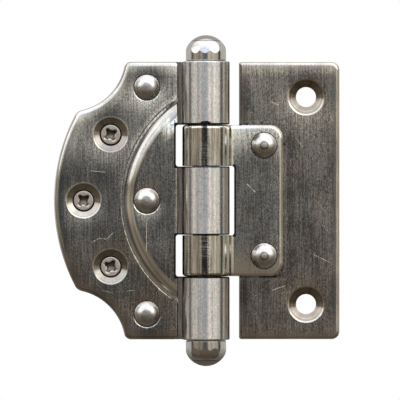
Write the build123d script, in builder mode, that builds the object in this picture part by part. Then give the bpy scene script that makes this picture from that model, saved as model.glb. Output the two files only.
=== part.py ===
from build123d import *
from math import acos, asin, atan2, degrees, sqrt, tan
import os

# Surface hinge, 2 1/2 inches tall, drawn flat open.
# +Z runs up along the pin, -Y is the front, and the plates' backs lie in the plane Y = 0.
# The origin is midway between the two screw holes of the rectangular plate, on its back.

# Barrel, pin and knuckles
hinge_height = 63.5
barrel_radius = 5.4
pin_radius = 3.0
pin_running_clearance = 0.05
pin_tight_clearance = 0.01
end_knuckle_length = 14.35
inner_knuckle_length = 9.35
knuckle_gap = 0.12
knuckle_edge_round = 0.3
roll_end_gap = 0.15
bend_radius = 1.0

# Ball tips
tip_radius = 4.6
tip_dome_height = 3.8
tip_shoulder_radius = 2.8
tip_collar_height = 2.1
tip_seat_gap = 0.15
tip_edge_round = 0.25
pin_depth_in_tip = 3.2

# Scalloped front plate, with places measured from the pin
scalloped_thickness = 2.2
scalloped_edge_round = 1.0
straight_edge_round = 0.3
pin_to_plate_edge = 6.4
arc_centre_right = 7.55
outer_arc_radius = 42.3
scallop_radius = 12.8
scallop_centre_left = 31.2
scallop_centre_rise = 1.45
scallop_tip_round = 2.4
top_corner_round = 1.6
pin_to_left_slot = 6.9
slot_corner_round = 0.6
slot_edge_round = 0.25

# Raised panel on the scalloped plate
panel_centre_right = 8.25
panel_groove_radius = 27.6
panel_groove_width = 0.65
panel_groove_depth = 0.25
panel_height = 1.0
panel_slope_angle = 50.0
panel_edge_round = 3.0

# Leaf behind the scalloped plate
leaf_inset = 0.9

# Countersinks of all screw holes: their full angle, and the rounding of their outer edges
sink_angle = 110.0
sink_edge_round = 0.6

# Left screws
outer_screw_left = 21.8
outer_screw_inset = 16.65
middle_screw_inset = 6.75
screw_sink_radius = 3.93
screw_pocket_radius = 2.55
screw_web_thickness = 0.6
screw_head_radius = 2.25
screw_head_height = 0.8
screw_edge_round = 0.15
screw_shank_radius = 1.5
screw_clearance = 0.05
recess_core_radius = 0.85
recess_lobe_radius = 0.45
recess_lobe_distance = 0.92
recess_depth = 1.0
screw_turns = {"upper": 57.0, "middle": 47.0, "lower": 31.0}

# Rivets
left_rivet_left = 13.5
left_rivet_inset = 5.85
right_rivet_right = 13.3
right_rivet_inset = 4.65
rivet_dome_radius = 2.92
rivet_dome_height = 1.5
left_rivet_flat_radius = 1.1
right_rivet_nub_radius = 0.75
right_rivet_nub_height = 0.12
right_rivet_nub_round = 0.1
rivet_shank_radius = 1.5
rivet_tail_radius = 2.3
rivet_clearance = 0.03

# Two-knuckle leaf
pin_to_leaf_edge = 17.6
pin_to_right_slot = 6.45
leaf_corner_round = 3.0
leaf_edge_round = 0.8

# Rectangular plate
rectangular_thickness = 2.4
rectangular_width = 23.0
rectangular_outer_corner_round = 1.8
rectangular_inner_corner_round = 0.5
rectangular_edge_round = 0.75
pin_to_rectangular_plate = 7.6
pin_to_plate_holes = 22.95
plate_hole_inset = 8.0
plate_hole_radius = 2.3
plate_sink_radius = 4.1

# Heights over the plates' backs
sheet_thickness = barrel_radius - pin_radius - pin_running_clearance
scalloped_front = sheet_thickness + scalloped_thickness
panel_front = scalloped_front + panel_height
groove_floor = scalloped_front - panel_groove_depth
small_leaf_front = rectangular_thickness + sheet_thickness
screw_seat = sheet_thickness + screw_web_thickness
screw_head_front = screw_seat + screw_head_height

# Lengths that differ by less than this count as the same
same_length = 0.001

# Places across the hinge
pin_x = -pin_to_plate_holes
pin_y = -barrel_radius
pin_axis = Axis((pin_x, pin_y, 0), (0, 0, 1))
arc_centre = (pin_x + arc_centre_right, 0)
panel_centre = (pin_x + panel_centre_right, 0)
outer_arc_left = arc_centre[0] - outer_arc_radius
straight_edge_x = pin_x - pin_to_plate_edge
left_slot_x = pin_x - pin_to_left_slot
right_slot_x = pin_x + pin_to_right_slot
rectangular_plate_x = pin_x + pin_to_rectangular_plate

# Places along the pin, upward from its middle
half_height = hinge_height / 2
end_knuckle_start = half_height - end_knuckle_length
inner_knuckle_end = end_knuckle_start - knuckle_gap
inner_knuckle_start = inner_knuckle_end - inner_knuckle_length
middle_knuckle_end = inner_knuckle_start - knuckle_gap
scallop_centre_up = half_height + scallop_centre_rise
outer_screw_up = half_height - outer_screw_inset
left_rivet_up = half_height - left_rivet_inset
right_rivet_up = inner_knuckle_end - right_rivet_inset
plate_hole_up = half_height - plate_hole_inset

left_rivets = {
    "upper": (pin_x - left_rivet_left, left_rivet_up),
    "middle": (pin_x - left_rivet_left, 0),
    "lower": (pin_x - left_rivet_left, -left_rivet_up),
}
left_screws = {
    "upper": (pin_x - outer_screw_left, outer_screw_up),
    "middle": (outer_arc_left + middle_screw_inset, 0),
    "lower": (pin_x - outer_screw_left, -outer_screw_up),
}
right_rivets = {
    "upper": (pin_x + right_rivet_right, right_rivet_up),
    "lower": (pin_x + right_rivet_right, -right_rivet_up),
}
plate_holes = [(0, plate_hole_up), (0, -plate_hole_up)]

os.makedirs("parts", exist_ok=True)


def front_plane(height):
    """The plane that faces the front, at a height over the plates' backs."""
    return Plane.XZ.offset(height)


def front_spots(places, height):
    """Planes that face the front at each place, for holes that go in from the front."""
    return [Plane(origin=(x, -height, z), x_dir=(1, 0, 0), z_dir=(0, -1, 0)) for x, z in places]


def back_spots(places):
    """Planes that face the back at each place, for holes that go in from the back."""
    return [Plane(origin=(x, 0, z), x_dir=(-1, 0, 0), z_dir=(0, 1, 0)) for x, z in places]


def scalloped_outline(inset):
    """The left side's outline, drawn in by the inset along its arc and its scallops."""
    with BuildSketch() as outline:
        with Locations(arc_centre):
            Circle(outer_arc_radius - inset)
        with Locations((straight_edge_x, 0)):
            Rectangle(
                straight_edge_x - outer_arc_left,
                hinge_height,
                align=(Align.MAX, Align.CENTER),
                mode=Mode.INTERSECT,
            )
        with Locations(
            (pin_x - scallop_centre_left, scallop_centre_up),
            (pin_x - scallop_centre_left, -scallop_centre_up),
        ):
            Circle(scallop_radius + inset, mode=Mode.SUBTRACT)
        fillet(outline.vertices().sort_by(Axis.X)[2:4], top_corner_round)
        fillet(outline.vertices().sort_by(Axis.X)[:2], scallop_tip_round)
    return outline.sketch


def left_slots():
    """The two openings around the right side's knuckles, with rounded left corners."""
    slot_height = end_knuckle_start - middle_knuckle_end
    slot_middle = (end_knuckle_start + middle_knuckle_end) / 2
    slot_width = pin_to_left_slot + 2 * barrel_radius
    with BuildSketch() as slots:
        with Locations((left_slot_x, slot_middle), (left_slot_x, -slot_middle)):
            RectangleRounded(slot_width, slot_height, slot_corner_round, align=(Align.MIN, Align.CENTER))
    return slots.sketch


def beside_left_slots(edge):
    """Whether an edge runs along the left, upper or lower side of one of the left openings."""
    middle = edge.center()
    within = middle_knuckle_end - slot_edge_round < abs(middle.Z) < end_knuckle_start + slot_edge_round
    return within and middle.X > left_slot_x - slot_edge_round


def across_pin(height):
    """The plane across the pin at a height, with its origin on the pin's axis."""
    return Plane(origin=(pin_x, pin_y, height))


def left_roll():
    """The rolled sheet seen along the pin: it passes behind the pin and ends in front of the leaf."""
    leaf_front = barrel_radius - sheet_thickness
    end_angle = asin((leaf_front - roll_end_gap) / barrel_radius)
    roll_end = (-leaf_front / tan(end_angle), leaf_front)
    with BuildSketch() as roll:
        Circle(barrel_radius)
        Circle(pin_radius + pin_tight_clearance, mode=Mode.SUBTRACT)
        Polygon((0, 0), roll_end, (0, leaf_front), align=None, mode=Mode.SUBTRACT)
    return roll.sketch


def right_roll():
    """The rolled sheet seen along the pin: it bends forward over the pin and ends behind the leaf."""
    bore_radius = pin_radius + pin_running_clearance
    leaf_front = barrel_radius - small_leaf_front
    bend_reach = barrel_radius + bend_radius
    outer_bend = bend_radius + sheet_thickness
    bend_y = leaf_front - bend_radius
    bend_x = sqrt(bend_reach**2 - bend_y**2)
    bend_angle = degrees(atan2(bend_y, bend_x))
    free_reach = outer_bend + roll_end_gap
    free_cosine = (barrel_radius**2 + bend_reach**2 - free_reach**2) / (2 * barrel_radius * bend_reach)
    end_angle = bend_angle + degrees(acos(free_cosine))
    wrap = 360 - end_angle + bend_angle
    with BuildSketch() as roll:
        with BuildLine():
            outside = CenterArc((0, 0), barrel_radius, end_angle, wrap)
            front_bend = CenterArc((bend_x, bend_y), bend_radius, 180 + bend_angle, -90 - bend_angle)
            front_face = Line(front_bend @ 1, (pin_to_leaf_edge, leaf_front))
            edge = Line(front_face @ 1, (pin_to_leaf_edge, leaf_front + sheet_thickness))
            Line(edge @ 1, (bend_x, leaf_front + sheet_thickness))
            CenterArc((bend_x, bend_y), outer_bend, 90, 90 + bend_angle)
            inside = CenterArc((0, 0), bore_radius, bend_angle, -wrap)
            Line(inside @ 1, outside @ 0)
        make_face()
    return roll.sketch


def round_edges(part, radius):
    """A part's circular edges of one radius, such as the knuckles' ends or the sinks' rims."""
    rings = part.edges().filter_by(GeomType.CIRCLE)
    return rings.filter_by(lambda edge: abs(edge.radius - radius) < same_length)


def dome_rivet(place, seat, flat_radius, nub_height):
    """A rivet with its dome on the seat and a flared tail that ends flush with the back."""
    x, z = place
    tail_depth = rivet_tail_radius - rivet_shank_radius
    drop = (rivet_dome_radius**2 - flat_radius**2 - rivet_dome_height**2) / (2 * rivet_dome_height)
    dome_curve = sqrt(rivet_dome_radius**2 + drop**2)
    start_angle = degrees(atan2(-drop, rivet_dome_radius))
    flat_angle = degrees(atan2(-rivet_dome_height - drop, flat_radius))
    with BuildPart() as rivet:
        with BuildSketch(Plane(origin=(x, -seat, z))):
            with BuildLine():
                dome = CenterArc((0, drop), dome_curve, start_angle, flat_angle - start_angle)
                top = Line(dome @ 1, (0, -rivet_dome_height))
                tail = Polyline(
                    top @ 1,
                    (0, seat),
                    (rivet_tail_radius, seat),
                    (rivet_shank_radius, seat - tail_depth),
                    (rivet_shank_radius, 0),
                    dome @ 0,
                )
            make_face()
        revolve(axis=Axis((x, -seat, z), (0, 1, 0)))
        if nub_height > 0:
            with BuildSketch(front_spots([place], seat + rivet_dome_height)[0]):
                Circle(flat_radius)
            extrude(amount=nub_height)
            fillet(rivet.edges().group_by(Axis.Y)[0], right_rivet_nub_round)
    return rivet


with BuildPart() as raised_panel:
    with BuildSketch(front_plane(groove_floor)):
        with Locations(panel_centre):
            Circle(panel_groove_radius - panel_groove_width)
    extrude(amount=panel_front - groove_floor, taper=panel_slope_angle)
    fillet(raised_panel.edges().group_by(Axis.Y)[0], panel_edge_round)
    split(bisect_by=Plane(origin=(straight_edge_x, 0, 0), z_dir=(-1, 0, 0)), keep=Keep.TOP)
    straight_edges = raised_panel.faces().sort_by(Axis.X)[-1].edges()
    fillet(straight_edges.sort_by(Axis.Y)[:-1], straight_edge_round)

with BuildPart() as scalloped_plate:
    with BuildSketch(front_plane(sheet_thickness)):
        add(scalloped_outline(0))
    extrude(amount=scalloped_thickness)
    front_edges = scalloped_plate.faces().sort_by(Axis.Y)[0].edges()
    fillet(front_edges.sort_by(Axis.X)[-1:], straight_edge_round)
    front_edges = scalloped_plate.faces().sort_by(Axis.Y)[0].edges()
    fillet(front_edges.sort_by(Axis.X)[:-1], scalloped_edge_round)
    with BuildSketch(front_plane(groove_floor)):
        with Locations(panel_centre):
            Circle(panel_groove_radius)
            Circle(panel_groove_radius - panel_groove_width, mode=Mode.SUBTRACT)
    extrude(amount=scalloped_thickness, mode=Mode.SUBTRACT)
    add(raised_panel.part)
    with BuildSketch(front_plane(0)):
        add(left_slots())
    extrude(amount=2 * panel_front, mode=Mode.SUBTRACT)
    panel_face = scalloped_plate.faces().filter_by(Axis.Y).sort_by(Axis.Y)[0]
    slot_edges = panel_face.edges().filter_by(beside_left_slots)
    fillet(slot_edges, slot_edge_round)
    with Locations(*front_spots(left_screws.values(), scalloped_front)):
        pocket_depth = scalloped_thickness - screw_web_thickness
        CounterSinkHole(screw_pocket_radius, screw_sink_radius, pocket_depth, sink_angle)
        Hole(screw_shank_radius + screw_clearance)
    fillet(round_edges(scalloped_plate.part, screw_sink_radius), sink_edge_round)
    with Locations(*front_spots(left_rivets.values(), scalloped_front)):
        Hole(rivet_shank_radius + rivet_clearance)
scalloped_plate.part.label = "scalloped_plate"
export_step(scalloped_plate.part, "parts/scalloped_plate.step")

with BuildPart() as three_knuckle_leaf:
    with BuildSketch(front_plane(0)):
        add(scalloped_outline(leaf_inset))
        with Locations((straight_edge_x, 0)):
            Rectangle(pin_to_plate_edge, hinge_height, align=(Align.MIN, Align.CENTER))
    extrude(amount=sheet_thickness)
    with BuildSketch(across_pin(-half_height)):
        add(left_roll())
    extrude(amount=hinge_height)
    with BuildSketch(front_plane(0)):
        add(left_slots())
    extrude(amount=3 * barrel_radius, mode=Mode.SUBTRACT)
    fillet(round_edges(three_knuckle_leaf.part, barrel_radius), knuckle_edge_round)
    with Locations(*front_spots(left_screws.values(), sheet_thickness)):
        Hole(screw_shank_radius + screw_clearance)
    with Locations(*back_spots(left_rivets.values())):
        CounterSinkHole(rivet_shank_radius + rivet_clearance, rivet_tail_radius + rivet_clearance)
three_knuckle_leaf.part.label = "three_knuckle_leaf"
export_step(three_knuckle_leaf.part, "parts/three_knuckle_leaf.step")

with BuildPart() as two_knuckle_leaf:
    with BuildSketch(across_pin(-inner_knuckle_end)):
        add(right_roll())
    extrude(amount=2 * inner_knuckle_end)
    with BuildSketch(front_plane(0)):
        with Locations((right_slot_x, 0)):
            RectangleRounded(
                pin_to_right_slot + 2 * barrel_radius,
                2 * inner_knuckle_start,
                slot_corner_round,
                align=(Align.MAX, Align.CENTER),
            )
    extrude(amount=3 * barrel_radius, mode=Mode.SUBTRACT)
    corner_edges = two_knuckle_leaf.edges().filter_by(Axis.Y).sort_by(Axis.X)[-2:]
    fillet(corner_edges, leaf_corner_round)
    front_face = two_knuckle_leaf.faces().filter_by(Axis.Y).sort_by(Axis.Y)[0]
    rim_edges = front_face.edges().filter_by(lambda edge: edge.center().X > right_slot_x)
    fillet(rim_edges, leaf_edge_round)
    with Locations(*front_spots(right_rivets.values(), small_leaf_front)):
        Hole(rivet_shank_radius + rivet_clearance)
two_knuckle_leaf.part.label = "two_knuckle_leaf"
export_step(two_knuckle_leaf.part, "parts/two_knuckle_leaf.step")

with BuildPart() as rectangular_plate:
    with BuildSketch(front_plane(0)) as plate_outline:
        with Locations((rectangular_plate_x, 0)):
            Rectangle(rectangular_width, hinge_height, align=(Align.MIN, Align.CENTER))
        fillet(plate_outline.vertices().sort_by(Axis.X)[-2:], rectangular_outer_corner_round)
        fillet(plate_outline.vertices().sort_by(Axis.X)[:2], rectangular_inner_corner_round)
    extrude(amount=rectangular_thickness)
    fillet(rectangular_plate.faces().sort_by(Axis.Y)[0].edges(), rectangular_edge_round)
    with Locations(*front_spots(plate_holes, rectangular_thickness)):
        CounterSinkHole(plate_hole_radius, plate_sink_radius, counter_sink_angle=sink_angle)
    fillet(round_edges(rectangular_plate.part, plate_sink_radius), sink_edge_round)
    with Locations(*back_spots(right_rivets.values())):
        CounterSinkHole(rivet_shank_radius + rivet_clearance, rivet_tail_radius + rivet_clearance)
rectangular_plate.part.label = "rectangular_plate"
export_step(rectangular_plate.part, "parts/rectangular_plate.step")

left_seats = {"upper": scalloped_front, "middle": panel_front, "lower": scalloped_front}
for name, place in left_rivets.items():
    left_rivet = dome_rivet(place, left_seats[name], left_rivet_flat_radius, 0)
    left_rivet.part.label = f"left_rivet_{name}"
    export_step(left_rivet.part, f"parts/left_rivet_{name}.step")

for name, place in right_rivets.items():
    right_rivet = dome_rivet(place, small_leaf_front, right_rivet_nub_radius, right_rivet_nub_height)
    right_rivet.part.label = f"right_rivet_{name}"
    export_step(right_rivet.part, f"parts/right_rivet_{name}.step")

for name, (x, z) in left_screws.items():
    with BuildPart() as left_screw:
        with BuildSketch(front_spots([(x, z)], 0)[0]):
            Circle(screw_shank_radius)
        extrude(amount=screw_seat)
        with BuildSketch(front_spots([(x, z)], screw_seat)[0]):
            Circle(screw_head_radius)
        extrude(amount=screw_head_height)
        fillet(left_screw.edges().group_by(Axis.Y)[0], screw_edge_round)
        with BuildSketch(front_spots([(x, z)], screw_head_front)[0]):
            Circle(recess_core_radius)
            with PolarLocations(recess_lobe_distance, 4, start_angle=screw_turns[name]):
                Circle(recess_lobe_radius)
        extrude(amount=-recess_depth, mode=Mode.SUBTRACT)
    left_screw.part.label = f"left_screw_{name}"
    export_step(left_screw.part, f"parts/left_screw_{name}.step")

with BuildPart() as hinge_pin:
    pin_length = hinge_height + 2 * (tip_seat_gap + pin_depth_in_tip)
    with Locations((pin_x, pin_y, 0)):
        Cylinder(pin_radius, pin_length)
hinge_pin.part.label = "hinge_pin"
export_step(hinge_pin.part, "parts/hinge_pin.step")

with BuildPart() as top_ball_tip:
    tip_base = (pin_x, pin_y, half_height + tip_seat_gap)
    shoulder_x = tip_radius - tip_shoulder_radius
    crown_rise = (shoulder_x**2 + tip_dome_height**2 - tip_shoulder_radius**2) / 2
    crown_radius = crown_rise / (tip_dome_height - tip_shoulder_radius)
    crown_y = tip_collar_height + tip_dome_height - crown_radius
    turn = degrees(atan2(tip_collar_height - crown_y, shoulder_x))
    bore_radius = pin_radius + pin_tight_clearance
    with BuildSketch(Plane(origin=tip_base, x_dir=(1, 0, 0), z_dir=(0, -1, 0))) as tip_profile:
        with BuildLine():
            collar = Line((tip_radius, 0), (tip_radius, tip_collar_height))
            CenterArc((shoulder_x, tip_collar_height), tip_shoulder_radius, 0, turn)
            crown = CenterArc((0, crown_y), crown_radius, turn, 90 - turn)
            bore_end = (bore_radius, pin_depth_in_tip)
            Polyline(crown @ 1, (0, pin_depth_in_tip), bore_end, (bore_radius, 0), collar @ 0)
        make_face()
        fillet(tip_profile.vertices().group_by(Axis.Y)[0].sort_by(Axis.X)[-1], tip_edge_round)
    revolve(axis=pin_axis)
top_ball_tip.part.label = "top_ball_tip"
export_step(top_ball_tip.part, "parts/top_ball_tip.step")

with BuildPart() as bottom_ball_tip:
    mirror(top_ball_tip.part, about=Plane.XY)
bottom_ball_tip.part.label = "bottom_ball_tip"
export_step(bottom_ball_tip.part, "parts/bottom_ball_tip.step")
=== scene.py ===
import math

import bmesh
import bpy
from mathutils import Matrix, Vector


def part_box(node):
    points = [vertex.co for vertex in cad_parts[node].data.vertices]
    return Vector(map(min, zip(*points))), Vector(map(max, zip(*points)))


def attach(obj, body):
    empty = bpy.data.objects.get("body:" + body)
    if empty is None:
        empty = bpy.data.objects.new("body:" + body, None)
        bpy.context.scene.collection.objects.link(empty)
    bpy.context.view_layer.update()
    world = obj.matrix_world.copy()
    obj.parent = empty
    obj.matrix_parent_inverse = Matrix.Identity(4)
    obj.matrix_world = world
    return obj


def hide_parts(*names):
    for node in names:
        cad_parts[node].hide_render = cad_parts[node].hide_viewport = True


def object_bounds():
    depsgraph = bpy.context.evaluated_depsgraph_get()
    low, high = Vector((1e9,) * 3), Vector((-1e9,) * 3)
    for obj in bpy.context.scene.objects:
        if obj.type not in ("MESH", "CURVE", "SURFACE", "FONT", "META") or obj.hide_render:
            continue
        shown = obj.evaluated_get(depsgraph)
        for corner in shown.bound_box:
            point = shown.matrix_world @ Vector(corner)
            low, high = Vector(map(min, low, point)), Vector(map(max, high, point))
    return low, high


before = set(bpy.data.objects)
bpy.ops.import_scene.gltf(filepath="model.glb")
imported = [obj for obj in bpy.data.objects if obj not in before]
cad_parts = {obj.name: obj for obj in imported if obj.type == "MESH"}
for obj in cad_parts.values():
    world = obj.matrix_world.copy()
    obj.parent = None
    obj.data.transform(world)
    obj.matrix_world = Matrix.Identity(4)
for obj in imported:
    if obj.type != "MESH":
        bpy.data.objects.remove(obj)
cadLow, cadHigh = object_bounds()
print("frame loaded:", len(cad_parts), "nodes")

scene = bpy.context.scene
perMetre = 1000.0  # lengths in this file are in millimetres, Blender's are in metres


# A CAD node's lowest corner, highest corner and middle, in millimetres
def boxOf(node):
    low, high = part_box(node)
    return low * perMetre, high * perMetre, (low + high) / 2 * perMetre


pin = boxOf("hinge_pin")[2]
barrelRadius = -cadLow.y * perMetre / 2
halfHeight = boxOf("rectangular_plate")[1].z


# A socket of a node tree that takes Python's operators, each of which adds one Math node
class Wire:
    def __init__(self, tree, socket):
        self.tree = tree
        self.socket = socket

    def combine(self, operation, *others):
        inputs = {0: self, **dict(enumerate(others, 1))}
        return self.tree.add("ShaderNodeMath", {"operation": operation}, inputs)

    def reverse(self, operation, other):
        return self.tree.add("ShaderNodeMath", {"operation": operation}, {0: other, 1: self})

    def __add__(self, other):
        return self.combine("ADD", other)

    __radd__ = __add__

    def __mul__(self, other):
        return self.combine("MULTIPLY", other)

    __rmul__ = __mul__

    def __sub__(self, other):
        return self.combine("SUBTRACT", other)

    def __rsub__(self, other):
        return self.reverse("SUBTRACT", other)

    def __truediv__(self, other):
        return self.combine("DIVIDE", other)

    def __rtruediv__(self, other):
        return self.reverse("DIVIDE", other)

    def __pow__(self, other):
        return self.combine("POWER", other)

    def __neg__(self):
        return self.combine("MULTIPLY", -1.0)

    def __abs__(self):
        return self.combine("ABSOLUTE")

    def root(self):
        return self.combine("SQRT")

    def sine(self):
        return self.combine("SINE")

    def cosine(self):
        return self.combine("COSINE")

    def atLeast(self, other):
        return self.combine("MAXIMUM", other)

    def atMost(self, other):
        return self.combine("MINIMUM", other)

    def clamped(self):
        return self.atLeast(0.0).atMost(1.0)

    # 0 below low, full above high and smooth between; falls instead where low is the larger
    def step(self, low, high, full=1.0):
        if low > high:
            return full - self.step(high, low, full)
        settings = {"interpolation_type": "SMOOTHSTEP"}
        inputs = {"Value": self, "From Min": low, "From Max": high, "To Max": full}
        return self.tree.add("ShaderNodeMapRange", settings, inputs)

    # From first to last while the wire goes from low to high
    def fade(self, low, high, first, last):
        return self.step(low, high, last - first) + first

    # A rise and a fall, each given as the two limits of a step
    def band(self, rise, fall, full=1.0):
        return self.step(*rise) * self.step(*fall, full)


# A node tree that is filled by one method
class Tree:
    def __init__(self, nodeTree):
        nodeTree.nodes.clear()
        self.nodes = nodeTree.nodes
        self.links = nodeTree.links

    def add(self, kind, settings=None, inputs=None, output=0):
        node = self.nodes.new(kind)
        for name, value in (settings or {}).items():
            setattr(node, name, value)
        for key, value in (inputs or {}).items():
            self.feed(self.find(node.inputs, key), value)
        return Wire(self, self.find(node.outputs, output)) if node.outputs else None

    def find(self, sockets, key):
        if isinstance(key, int):
            return sockets[key]
        return next(s for s in sockets if s.name == key and s.enabled)

    def feed(self, socket, value):
        if isinstance(value, Wire):
            self.links.new(value.socket, socket)
        else:
            socket.default_value = value

    # A number as a wire
    def wire(self, value):
        if isinstance(value, Wire):
            return value
        return self.add("ShaderNodeMath", {"operation": "ADD"}, {0: value, 1: 0.0})

    # The three numbers of a vector
    def split(self, vector):
        parts = self.add("ShaderNodeSeparateXYZ", None, {0: vector})
        return [Wire(self, s) for s in parts.socket.node.outputs]

    def vector(self, x, y, z):
        return self.add("ShaderNodeCombineXYZ", None, {0: x, 1: y, 2: z})

    # From one colour to another as the share goes from 0 to 1
    def blend(self, share, first, second, kind="MIX"):
        settings = {"data_type": "RGBA", "blend_type": kind}
        first, second = [c if isinstance(c, Wire) else (*c, 1.0) for c in (first, second)]
        return self.add("ShaderNodeMix", settings, {"Factor": share, "A": first, "B": second}, "Result")

    def noise(self, place, detail=2.0, roughness=0.5):
        inputs = {"Vector": place, "Scale": 1.0, "Detail": detail, "Roughness": roughness}
        return self.add("ShaderNodeTexNoise", None, inputs)

    # Noise stretched along the pin. Its grain is size across, size along, detail and roughness.
    def grain(self, x, y, z, grain):
        across, along, detail, roughness = grain
        return self.noise(self.vector(x / across, y / across, z / along), detail, roughness)


# The point of the surface in millimetres, measured from the pin's middle
def surfacePoint(tree):
    coordinates = tree.add("ShaderNodeTexCoord", None, None, "Object")
    x, y, z = tree.split(coordinates)
    return x * perMetre - pin.x, y * perMetre - pin.y, z * perMetre


# Distance from a point of the front view, which is two numbers
def distanceTo(x, z, place):
    across = x - place[0]
    up = z - place[1]
    return (across * across + up * up).root()


# Distance from a line between two points of the front view
def distanceToLine(x, z, start, end):
    across, up = end[0] - start[0], end[1] - start[1]
    length = across * across + up * up
    share = (((x - start[0]) * across + (z - start[1]) * up) / length).clamped()
    return ((x - start[0] - share * across) ** 2.0 + (z - start[1] - share * up) ** 2.0).root()


# What all the steels share
finish = {
    "rounded": (0.995, 0.95),  # how squarely a surface faces the front, from flat to rounded
    "grainLost": 0.8,  # share of the grain's height that polish takes away
    "shadeLost": 0.85,
    "mottleGrain": (0.4, 0.5, 2.0, 0.7),
    "hueGrain": (0.9, 1.6, 2.0, 0.5),
    "hueLevel": (0.35, 0.65),
    "cloudGrain": (5.0, 7.0, 3.0, 0.5),
    "cloudRough": (0.85, 0.3),  # least roughness, and what the clouds add
    "speckGrain": (0.22, 0.22, 1.0, 0.5),
    "speckLevel": (0.68, 0.78),
    "speckClouds": (0.4, 0.7),
    "darkest": 0.5,
    "lightest": 1.5,
}
dirtAndShadeLook = {"Base Color": (0.012, 0.011, 0.010, 1.0), "Roughness": 0.9, "Specular IOR Level": 0.05}


# Steel with grain, cloudy tarnish, specks, and what each piece adds. A piece's own marks come from a
# function that gives them as wires: height, polish, shade, stains, scratches, roughness, and the share
# of a near-black coat. Shade, stains and the coat hold painted light and painted shade beside real
# tone, stains and dirt.
def steel(name, look, marks):
    material = bpy.data.materials.new(name)
    material.use_nodes = True
    tree = Tree(material.node_tree)
    point = surfacePoint(tree)
    clouds = tree.grain(*point, finish["cloudGrain"])
    specks = tree.grain(*point, finish["speckGrain"]).step(*finish["speckLevel"])
    specks = specks * clouds.step(*finish["speckClouds"])
    mottle = tree.grain(*point, finish["mottleGrain"]) - 0.5
    grain = tree.grain(*point, look["grain"]) * 0.5 + tree.grain(*point, look["fineGrain"]) * 0.5 - 0.5
    own = marks(tree, *point)

    facing = abs(tree.split(tree.add("ShaderNodeTexCoord", None, None, "Normal"))[1])
    polish = (facing.step(*finish["rounded"], look["edgePolish"]) + own.get("polish", 0.0)).atMost(1.0)
    height = grain * (1 - polish * finish["grainLost"]) * look["depth"] + own.get("height", 0.0)
    bump = tree.add("ShaderNodeBump", None, {"Strength": 1.0, "Distance": 1 / perMetre, "Height": height})

    shade = (grain * look["contrast"] + mottle * look["mottle"]) * (1 - polish * finish["shadeLost"])
    shade = (shade + (clouds - 0.5) * look["cloudy"] + own.get("shade", 0.0) + 0.5).clamped()
    dark = [c * finish["darkest"] for c in look["tint"]]
    light = [min(1.0, c * finish["lightest"]) for c in look["tint"]]
    hue = tree.blend(tree.grain(*point, finish["hueGrain"]).step(*finish["hueLevel"]), *look["hues"])
    base = tree.blend(1.0, tree.blend(shade, dark, light), hue, "MULTIPLY")
    base = tree.blend(own.get("stainAndShade", 0.0), base, look["stainAndShade"])

    least, more = finish["cloudRough"]
    rough = look["roughness"] * (least + more * clouds) * (1 - polish) + look["polishedRoughness"] * polish
    rough = rough + specks * look["specks"] + own.get("scratch", 0.0) * look["scratchRoughness"]
    inputs = {
        "Base Color": base,
        "Metallic": 1.0,
        "Roughness": rough + own.get("rough", 0.0),
        "Anisotropic": look["anisotropic"],
        "Anisotropic Rotation": look["turn"],
        "Normal": bump,
    }
    shader = tree.add("ShaderNodeBsdfPrincipled", None, inputs)
    # the near-black coat stands for real dirt and for painted shade
    if "dirtAndShade" in own:
        darkening = tree.add("ShaderNodeBsdfPrincipled", None, dirtAndShadeLook)
        shader = tree.add("ShaderNodeMixShader", None, {0: own["dirtAndShade"], 1: shader, 2: darkening})
    tree.add("ShaderNodeOutputMaterial", None, {"Surface": shader})
    return material


# The finishes. The two hues come and go over the tint, and places with real stains or painted shade take the
# colour given for both.
plateLook = {
    "tint": (0.68, 0.66, 0.625),
    "hues": [(0.95, 1.0, 0.99), (1.05, 0.99, 0.97)],
    # the colour of real stains and of painted shade
    "stainAndShade": (0.16, 0.13, 0.10),
    "grain": (0.2, 7.0, 3.0, 0.6),
    "fineGrain": (0.17, 0.5, 2.0, 0.6),
    "depth": 0.016,
    "contrast": 6.0,
    "mottle": 2.2,
    "cloudy": 1.0,
    "specks": 0.35,
    "edgePolish": 0.9,
    "roughness": 0.18,
    "polishedRoughness": 0.12,
    "scratchRoughness": 0.5,
    "anisotropic": 0.6,
    "turn": 0.0,
}
backLook = {
    **plateLook,
    "tint": (0.67, 0.63, 0.575),
    "grain": (0.19, 9.0, 3.0, 0.6),
    "contrast": 7.0,
    "mottle": 1.5,
}
barrelLook = {
    **plateLook,
    "tint": (0.88, 0.86, 0.82),
    "grain": (0.3, 30.0, 3.0, 0.6),
    "fineGrain": (0.3, 0.6, 2.0, 0.6),
    "specks": 0.0,
    "edgePolish": 0.0,
    "depth": 0.004,
    "contrast": 2.8,
    "mottle": 0.8,
    "cloudy": 0.2,
    "roughness": 0.28,
    "anisotropic": 0.95,
    "turn": 0.25,
}
domeLook = {
    **plateLook,
    "specks": 0.0,
    "edgePolish": 0.0,
    "tint": (0.80, 0.785, 0.76),
    "grain": (0.6, 0.6, 3.0, 0.6),
    "fineGrain": (0.25, 0.25, 2.0, 0.6),
    "depth": 0.04,
    "contrast": 0.8,
    "mottle": 0.4,
    "cloudy": 0.3,
    "roughness": 0.27,
    "anisotropic": 0.0,
}
tipLook = {**domeLook, "tint": (0.71, 0.70, 0.675), "depth": 0.012, "roughness": 0.16}
screwLook = {**domeLook, "tint": (0.62, 0.575, 0.52), "depth": 0.02, "roughness": 0.42}

# The plates are polished round, slightly all over and more towards their edges
crowns = [(24.0, 0.02), (3.4, 0.06)]  # width and slope
edgeShine = (2.6, 1.0, 0.85)  # the grain is polished away between these distances from an edge
scratchLook = {"edge": (0.11, 0.03), "breakGrain": (0.8, 0.8, 2.0, 0.5), "breakLevel": (0.25, 0.5)}


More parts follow.
